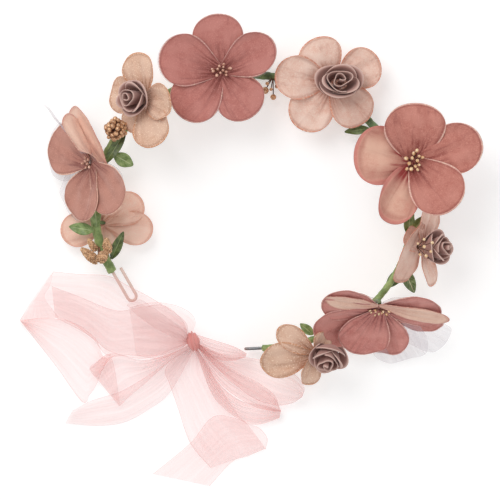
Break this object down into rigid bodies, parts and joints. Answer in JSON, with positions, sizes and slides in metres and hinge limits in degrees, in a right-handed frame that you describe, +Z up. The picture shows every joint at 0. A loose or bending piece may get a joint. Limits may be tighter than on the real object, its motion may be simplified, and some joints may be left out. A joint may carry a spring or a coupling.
{
  "type": "flower crown",
  "caption": "Open oval wire hoop wrapped in green tape, carrying dusty rose and peach fabric flowers, foam roses, berries and leaves, closed by a sheer pink ribbon bow.",
  "frame": {"origin": "centre of the head opening, level with the table the crown lies on", "axes": "+Z up out of the head opening; the bow is at the front, towards -Y and -X, and the long way across the hoop is along X"},
  "size_m": [0.2679, 0.2746, 0.0586],
  "materials": {
    "wire": "thin floral wire in pale paper, bare and grey at one end",
    "tape": "waxed green floral tape",
    "rose_cloth": "dusty rose woven cloth, paler and tan on the underside, with glitter at the cut edges",
    "organza": "sheer white organza",
    "stamen": "fine brown threads with pearly tips",
    "peach_cloth": "peach woven cloth with glitter at the cut edges",
    "foam": "soft mauve foam sheet",
    "gold": "gold glitter over beads",
    "leaf": "printed green cloth with a stamped vein",
    "ribbon": "sheer pale pink organza ribbon"
  },
  "bodies": {
    "crown": {"bead_twig_front": "gold", "bead_twig_right": "gold", "berry_cluster_left": "gold", "berry_twig_top": "gold", "blossom_back_petals": "peach_cloth", "blossom_back_stem": "tape", "blossom_front_petals": "peach_cloth", "blossom_front_rose": "foam", "blossom_front_stem": "tape", "blossom_left_petals": "peach_cloth", "blossom_left_rose": "foam", "blossom_left_stem": "tape", "blossom_right_petals": "peach_cloth", "blossom_right_rose": "foam", "blossom_right_stem": "tape", "blossom_top_petals": "peach_cloth", "blossom_top_rose": "foam", "blossom_top_stem": "tape", "glitter_buds_left": "gold", "hoop_wire": "wire", "leaf_back_inner": "leaf", "leaf_back_outer": "leaf", "leaf_back_tall": "leaf", "leaf_front": "leaf", "leaf_left_inner": "leaf", "leaf_left_long": "leaf", "leaf_right_low": "leaf", "leaf_right_tall": "leaf", "leaf_top": "leaf", "tape_left": "tape", "tape_right": "tape", "tape_top": "tape"},
    "bow": {"bow_knot": "ribbon", "bow_loop_left_lower": "ribbon", "bow_loop_left_upper": "ribbon", "bow_loop_right_inner": "ribbon", "bow_loop_right_outer": "ribbon", "bow_loop_top": "ribbon", "ribbon_band_left": "ribbon", "ribbon_band_right": "ribbon", "ribbon_tail_left": "ribbon", "ribbon_tail_long": "ribbon", "ribbon_tail_short": "ribbon"},
    "flower_front": {"flower_front_backing": "organza", "flower_front_petals": "rose_cloth", "flower_front_stamens": "stamen", "flower_front_stem": "tape"},
    "flower_left": {"flower_left_backing": "organza", "flower_left_petals": "rose_cloth", "flower_left_stamens": "stamen", "flower_left_stem": "tape"},
    "flower_right": {"flower_right_backing": "organza", "flower_right_petals": "rose_cloth", "flower_right_stamens": "stamen", "flower_right_stem": "tape"},
    "flower_top": {"flower_top_backing": "organza", "flower_top_petals": "rose_cloth", "flower_top_stamens": "stamen", "flower_top_stem": "tape"}
  },
  "joints": [
    {"name": "flower_top_tilt", "type": "hinge", "parent": "crown", "child": "flower_top", "pos_m": [-0.01756, 0.07892, 0.01071], "axis": [-0.9887, -0.1498, 0], "range_deg": [-15, 15]},
    {"name": "flower_right_tilt", "type": "hinge", "parent": "crown", "child": "flower_right", "pos_m": [0.08691, 0.02696, 0.01589], "axis": [-0.3955, 0.9185, 0], "range_deg": [-15, 15]},
    {"name": "flower_front_tilt", "type": "hinge", "parent": "crown", "child": "flower_front", "pos_m": [0.07129, -0.05239, 0.021], "axis": [0.6941, 0.7198, 0], "range_deg": [-15, 15]},
    {"name": "flower_left_tilt", "type": "hinge", "parent": "crown", "child": "flower_left", "pos_m": [-0.08889, 0.02611, 0.02282], "axis": [-0.3434, -0.9392, 0], "range_deg": [-15, 15]},
    {"name": "bow_swing", "type": "hinge", "parent": "crown", "child": "bow", "pos_m": [-0.07003, -0.04913, 0.00783], "axis": [0.9142, -0.4048, -0.0178], "range_deg": [0, 90]}
  ]
}
